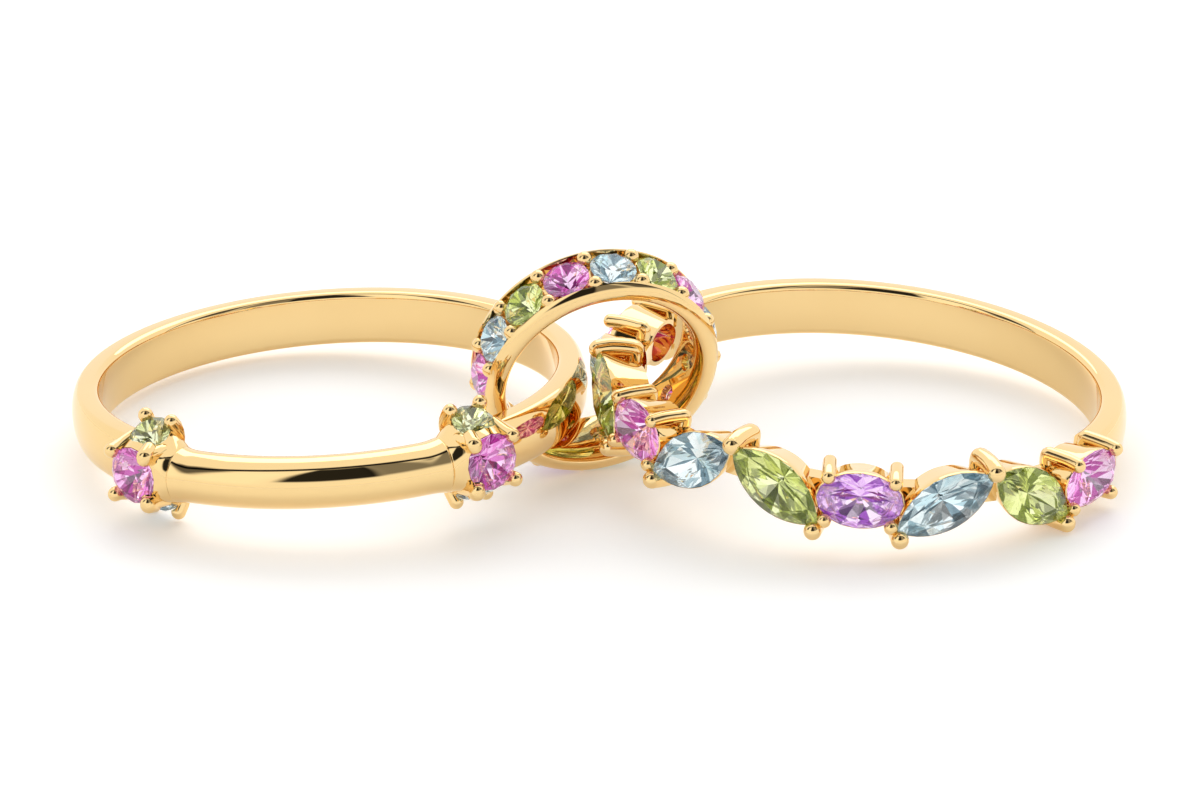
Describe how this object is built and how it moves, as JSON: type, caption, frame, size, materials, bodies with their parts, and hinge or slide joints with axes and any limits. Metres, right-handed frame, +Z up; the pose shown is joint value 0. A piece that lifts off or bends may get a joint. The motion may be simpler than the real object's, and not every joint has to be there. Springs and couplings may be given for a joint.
{
  "type": "linked stackable ring",
  "caption": "Pair of finger rings joined by a small gem-set link: one with a thick bar between clusters, one with a row of oval and marquise stones.",
  "frame": {"origin": "on the resting surface, under the middle of the whole jewel as it lies", "axes": "+X from the cluster band to the row band, +Y away from the gem-set fronts, +Z up from the surface"},
  "size_m": [0.0398, 0.0212, 0.0093],
  "materials": {
    "gold": "polished yellow gold",
    "pink_gem": "clear faceted pink stone",
    "green_gem": "clear faceted yellow-green stone",
    "aqua_gem": "clear faceted pale blue stone"
  },
  "bodies": {
    "root": {"cluster_band": "gold", "cluster_left_face_pink": "pink_gem", "cluster_left_top_green": "green_gem", "cluster_left_under_aqua": "aqua_gem", "cluster_right_face_pink": "pink_gem", "cluster_right_top_green": "green_gem", "cluster_right_under_aqua": "aqua_gem", "link_ring": "gold", "link_stone_01_aqua": "aqua_gem", "link_stone_02_pink": "pink_gem", "link_stone_03_green": "green_gem", "link_stone_04_aqua": "aqua_gem", "link_stone_05_pink": "pink_gem", "link_stone_06_green": "green_gem", "link_stone_07_aqua": "aqua_gem", "link_stone_08_pink": "pink_gem", "link_stone_09_green": "green_gem", "link_stone_10_aqua": "aqua_gem", "link_stone_11_pink": "pink_gem", "link_stone_12_green": "green_gem", "link_stone_13_aqua": "aqua_gem", "link_stone_14_pink": "pink_gem", "link_stone_15_green": "green_gem", "row_band": "gold", "row_marquise_02_aqua": "aqua_gem", "row_marquise_03_green": "green_gem", "row_marquise_05_aqua": "aqua_gem", "row_marquise_06_green": "green_gem", "row_marquise_08_aqua": "aqua_gem", "row_marquise_09_green": "green_gem", "row_oval_01_pink": "pink_gem", "row_oval_04_pink": "pink_gem", "row_oval_07_pink": "pink_gem", "row_oval_10_pink": "pink_gem"}
  },
  "joints": []
}
